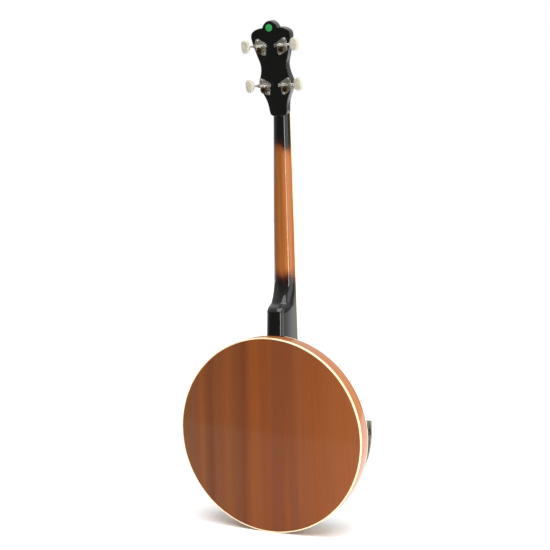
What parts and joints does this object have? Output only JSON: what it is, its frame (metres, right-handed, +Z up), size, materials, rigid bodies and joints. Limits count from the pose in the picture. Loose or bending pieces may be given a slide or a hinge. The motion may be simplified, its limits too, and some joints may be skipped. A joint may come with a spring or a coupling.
{
  "type": "banjo",
  "caption": "Tenor banjo with a round flat-backed resonator, tensioned head on a wooden rim, slim fretted neck and a peghead with open-geared tuners.",
  "frame": {"origin": "on the ground under the middle of the standing instrument, at the lowest point of the resonator's rim, half way through its depth", "axes": "+Z up along the neck to the peghead; +Y out of the resonator's flat back; the strings and head face -Y; +X to the right as seen from the front"},
  "size_m": [0.34, 0.1, 0.8775],
  "materials": {
    "mahogany_back": "gloss",
    "mahogany_wall": "gloss",
    "cream_binding": "gloss",
    "nickel_plate": "polished",
    "maple": "satin",
    "bell_brass": "polished",
    "head_skin": "frosted",
    "neck_lacquer": "gloss",
    "rosewood": "satin",
    "pearl": "gloss",
    "bone": "satin",
    "black_lacquer": "gloss",
    "string_steel": "bright",
    "ebony": "satin",
    "button_plastic": "gloss",
    "gear_brass": "satin",
    "steel": "satin",
    "dark_steel": "satin"
  },
  "bodies": {
    "pot_and_neck": {"rim": "maple", "tone_ring": "bell_brass", "head": "head_skin", "flesh_hoop": "steel", "tension_hoop": "nickel_plate", "flange": "nickel_plate", "tension_hooks": "nickel_plate", "hook_nuts": "nickel_plate", "coordinator_rods": "steel", "rod_fasteners": "steel", "neck": "neck_lacquer", "fingerboard": "rosewood", "fingerboard_binding": "cream_binding", "frets": "nickel_plate", "inlays": "pearl", "nut": "bone", "truss_rod": "steel", "truss_cover": "black_lacquer", "small_screws": "nickel_plate", "headstock_overlay": "black_lacquer", "tuner_plates": "nickel_plate", "post_bushings": "nickel_plate", "strings": "string_steel", "bridge_base": "maple", "bridge_cap": "ebony", "tailpiece_frame": "nickel_plate", "tailpiece_pin": "steel", "armrest_plate": "nickel_plate", "armrest_clamps": "nickel_plate"},
    "resonator": {"resonator_back": "mahogany_back", "resonator_wall": "mahogany_wall", "back_binding": "cream_binding", "front_binding": "cream_binding", "resonator_lugs": "steel", "lug_screws": "steel"},
    "tailpiece_lid": {"tailpiece_cover": "nickel_plate"},
    "thumb_screw_1": {"thumb_screw_1": "nickel_plate"},
    "thumb_screw_2": {"thumb_screw_2": "nickel_plate"},
    "thumb_screw_3": {"thumb_screw_3": "nickel_plate"},
    "thumb_screw_4": {"thumb_screw_4": "nickel_plate"},
    "tuner_1_shaft": {"tuner_worm_1": "nickel_plate", "tuner_button_1": "button_plastic"},
    "tuner_1_post": {"tuner_gear_1": "gear_brass", "gear_screw_1": "dark_steel", "tuner_post_1": "nickel_plate"},
    "tuner_2_shaft": {"tuner_worm_2": "nickel_plate", "tuner_button_2": "button_plastic"},
    "tuner_2_post": {"tuner_gear_2": "gear_brass", "gear_screw_2": "dark_steel", "tuner_post_2": "nickel_plate"},
    "tuner_3_shaft": {"tuner_worm_3": "nickel_plate", "tuner_button_3": "button_plastic"},
    "tuner_3_post": {"tuner_gear_3": "gear_brass", "gear_screw_3": "dark_steel", "tuner_post_3": "nickel_plate"},
    "tuner_4_shaft": {"tuner_worm_4": "nickel_plate", "tuner_button_4": "button_plastic"},
    "tuner_4_post": {"tuner_gear_4": "gear_brass", "gear_screw_4": "dark_steel", "tuner_post_4": "nickel_plate"}
  },
  "joints": [
    {"name": "resonator_lift_off", "type": "slide", "parent": "pot_and_neck", "child": "resonator", "axis": [0, 1, 0], "range_m": [0, 0.08]},
    {"name": "tailpiece_lid_hinge", "type": "hinge", "parent": "pot_and_neck", "child": "tailpiece_lid", "pos_m": [0, -0.041, 0.022], "axis": [1, 0, 0], "range_deg": [0, 80]},
    {"name": "thumb_screw_1_undo", "type": "slide", "parent": "pot_and_neck", "child": "thumb_screw_1", "axis": [0, -1, 0], "range_m": [0, 0.012]},
    {"name": "thumb_screw_2_undo", "type": "slide", "parent": "pot_and_neck", "child": "thumb_screw_2", "axis": [0, -1, 0], "range_m": [0, 0.012]},
    {"name": "thumb_screw_3_undo", "type": "slide", "parent": "pot_and_neck", "child": "thumb_screw_3", "axis": [0, -1, 0], "range_m": [0, 0.012]},
    {"name": "thumb_screw_4_undo", "type": "slide", "parent": "pot_and_neck", "child": "thumb_screw_4", "axis": [0, -1, 0], "range_m": [0, 0.012]},
    {"name": "tuner_1_button_turn", "type": "hinge", "parent": "pot_and_neck", "child": "tuner_1_shaft", "pos_m": [0.02, 0.01415, 0.83345], "axis": [1, 0, 0], "continuous": true},
    {"name": "tuner_1_post_turn", "type": "hinge", "parent": "pot_and_neck", "child": "tuner_1_post", "pos_m": [0.02, 0.01249, 0.82562], "axis": [0, 0.9781, -0.2079], "continuous": true},
    {"name": "tuner_2_button_turn", "type": "hinge", "parent": "pot_and_neck", "child": "tuner_2_shaft", "pos_m": [-0.02, 0.01415, 0.83345], "axis": [1, 0, 0], "continuous": true},
    {"name": "tuner_2_post_turn", "type": "hinge", "parent": "pot_and_neck", "child": "tuner_2_post", "pos_m": [-0.02, 0.01249, 0.82562], "axis": [0, 0.9781, -0.2079], "continuous": true},
    {"name": "tuner_3_button_turn", "type": "hinge", "parent": "pot_and_neck", "child": "tuner_3_shaft", "pos_m": [0.02, 0.0002, 0.76782], "axis": [1, 0, 0], "continuous": true},
    {"name": "tuner_3_post_turn", "type": "hinge", "parent": "pot_and_neck", "child": "tuner_3_post", "pos_m": [0.02, -0.00146, 0.75999], "axis": [0, 0.9781, -0.2079], "continuous": true},
    {"name": "tuner_4_button_turn", "type": "hinge", "parent": "pot_and_neck", "child": "tuner_4_shaft", "pos_m": [-0.02, 0.0002, 0.76782], "axis": [1, 0, 0], "continuous": true},
    {"name": "tuner_4_post_turn", "type": "hinge", "parent": "pot_and_neck", "child": "tuner_4_post", "pos_m": [-0.02, -0.00146, 0.75999], "axis": [0, 0.9781, -0.2079], "continuous": true}
  ],
  "couplings": [
    {"joint": "tuner_1_post_turn", "follows": "tuner_1_button_turn", "ratio": -0.071429},
    {"joint": "tuner_2_post_turn", "follows": "tuner_2_button_turn", "ratio": 0.071429},
    {"joint": "tuner_3_post_turn", "follows": "tuner_3_button_turn", "ratio": -0.071429},
    {"joint": "tuner_4_post_turn", "follows": "tuner_4_button_turn", "ratio": 0.071429}
  ]
}
